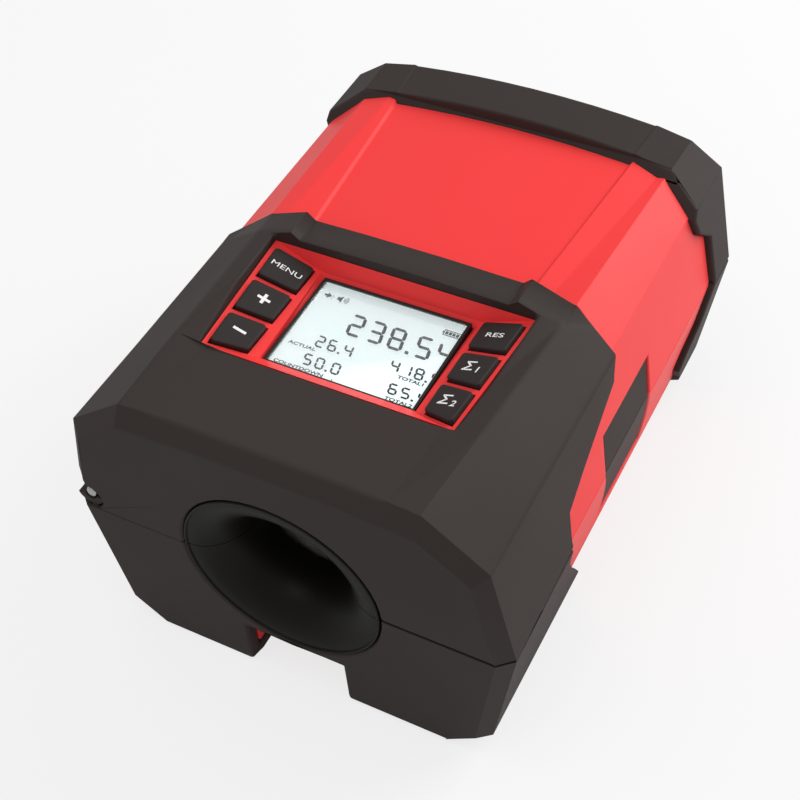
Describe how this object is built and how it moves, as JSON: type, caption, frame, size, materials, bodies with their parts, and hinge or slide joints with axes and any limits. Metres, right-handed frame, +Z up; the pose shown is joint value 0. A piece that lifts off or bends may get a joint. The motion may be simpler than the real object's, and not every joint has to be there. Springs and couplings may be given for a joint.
{
  "type": "cable length counter",
  "caption": "Hinged clamshell that closes round a cable and counts its length with a sprung measuring wheel; display and sloping keys on the lid.",
  "frame": {"origin": "middle of the footprint, on the plane that the counter stands on", "axes": "+Z up, +Y from the display end to the rear end along the cable, +X to the right seen from the front"},
  "size_m": [0.1529, 0.192, 0.1121],
  "materials": {
    "red_plastic": "moulded plastic with a fine satin texture",
    "cover_elastomer": "matt over-moulded elastomer",
    "dark_plastic": "satin moulded plastic",
    "funnel_plastic": "polished low-friction plastic",
    "rubber": "soft rubber",
    "steel": "turned and pressed steel",
    "aluminium": "turned aluminium",
    "roller_plastic": "turned plastic",
    "screen": "backlit liquid crystal panel",
    "window_plastic": "clear window",
    "circuit_board": "solder-masked board",
    "cell_jacket": "printed jacket, left plain"
  },
  "bodies": {
    "base": {"lower_housing": "red_plastic", "front_cover_lower": "cover_elastomer", "rear_cover_lower": "cover_elastomer", "front_funnel_lower": "funnel_plastic", "rear_funnel_lower": "funnel_plastic", "guide_frame": "dark_plastic", "roller_axle_1": "steel", "roller_axle_2": "steel", "roller_axle_3": "steel", "roller_axle_4": "steel", "frame_screw_1": "steel", "frame_screw_2": "steel", "side_grip_lower": "dark_plastic", "closing_magnet_front_lower": "steel", "closing_magnet_rear_lower": "steel", "hinge_pin_front": "steel", "hinge_pin_rear": "steel"},
    "lid": {"upper_housing": "red_plastic", "front_cover_upper": "cover_elastomer", "rear_cover_upper": "cover_elastomer", "front_funnel_upper": "funnel_plastic", "rear_funnel_upper": "funnel_plastic", "display_tray": "red_plastic", "display_frame": "dark_plastic", "display_window": "window_plastic", "display_panel": "screen", "circuit_board": "circuit_board", "key_mat": "rubber", "buzzer": "dark_plastic", "lid_liner": "dark_plastic", "liner_screw_1": "steel", "liner_screw_2": "steel", "battery_tray": "dark_plastic", "battery_cell_1": "cell_jacket", "battery_cell_2": "cell_jacket", "battery_contact_front": "steel", "battery_contact_rear": "steel", "battery_door": "dark_plastic", "arm_bracket": "steel", "arm_pivot_pin": "steel", "arm_spring": "steel", "side_grip_upper": "dark_plastic", "closing_magnet_front_upper": "steel", "closing_magnet_rear_upper": "steel"},
    "arm": {"wheel_arm": "dark_plastic", "wheel_axle": "steel", "sensor_board": "circuit_board"},
    "wheel": {"measuring_wheel": "aluminium", "wheel_tyre": "rubber", "encoder_disc": "steel"},
    "key_menu": {"key_menu": "dark_plastic"},
    "key_plus": {"key_plus": "dark_plastic"},
    "key_minus": {"key_minus": "dark_plastic"},
    "key_reset": {"key_reset": "dark_plastic"},
    "key_total_1": {"key_total_1": "dark_plastic"},
    "key_total_2": {"key_total_2": "dark_plastic"},
    "roller_1": {"guide_roller_1": "roller_plastic"},
    "roller_2": {"guide_roller_2": "roller_plastic"},
    "roller_3": {"guide_roller_3": "roller_plastic"},
    "roller_4": {"guide_roller_4": "roller_plastic"}
  },
  "joints": [
    {"name": "lid_hinge", "type": "hinge", "parent": "base", "child": "lid", "pos_m": [-0.0695, 0, 0.0619], "axis": [0, -1, 0], "range_deg": [0, 90]},
    {"name": "key_menu_press", "type": "slide", "parent": "lid", "child": "key_menu", "axis": [-0.3199, -0.0394, -0.9466], "range_m": [0, 0.0008], "stiffness_N_per_m": 400},
    {"name": "key_plus_press", "type": "slide", "parent": "lid", "child": "key_plus", "axis": [-0.3199, -0.0394, -0.9466], "range_m": [0, 0.0008], "stiffness_N_per_m": 400},
    {"name": "key_minus_press", "type": "slide", "parent": "lid", "child": "key_minus", "axis": [-0.3199, -0.0394, -0.9466], "range_m": [0, 0.0008], "stiffness_N_per_m": 400},
    {"name": "key_reset_press", "type": "slide", "parent": "lid", "child": "key_reset", "axis": [0.3199, -0.0394, -0.9466], "range_m": [0, 0.0008], "stiffness_N_per_m": 400},
    {"name": "key_total_1_press", "type": "slide", "parent": "lid", "child": "key_total_1", "axis": [0.3199, -0.0394, -0.9466], "range_m": [0, 0.0008], "stiffness_N_per_m": 400},
    {"name": "key_total_2_press", "type": "slide", "parent": "lid", "child": "key_total_2", "axis": [0.3199, -0.0394, -0.9466], "range_m": [0, 0.0008], "stiffness_N_per_m": 400},
    {"name": "arm_pivot", "type": "hinge", "parent": "lid", "child": "arm", "pos_m": [0, 0.062, 0.0789], "axis": [-1, 0, 0], "range_deg": [0, 34], "stiffness_Nm_per_rad": 0.02, "springref_deg": -34.38},
    {"name": "wheel_spin", "type": "hinge", "parent": "arm", "child": "wheel", "pos_m": [0, 0.016, 0.0569], "axis": [1, 0, 0], "continuous": true},
    {"name": "roller_1_spin", "type": "hinge", "parent": "base", "child": "roller_1", "pos_m": [0, -0.06202, 0.0324], "axis": [1, 0, 0], "continuous": true},
    {"name": "roller_2_spin", "type": "hinge", "parent": "base", "child": "roller_2", "pos_m": [0, -0.00403, 0.0324], "axis": [1, 0, 0], "continuous": true},
    {"name": "roller_3_spin", "type": "hinge", "parent": "base", "child": "roller_3", "pos_m": [0, 0.0361, 0.0324], "axis": [1, 0, 0], "continuous": true},
    {"name": "roller_4_spin", "type": "hinge", "parent": "base", "child": "roller_4", "pos_m": [0, 0.06202, 0.0324], "axis": [1, 0, 0], "continuous": true}
  ]
}
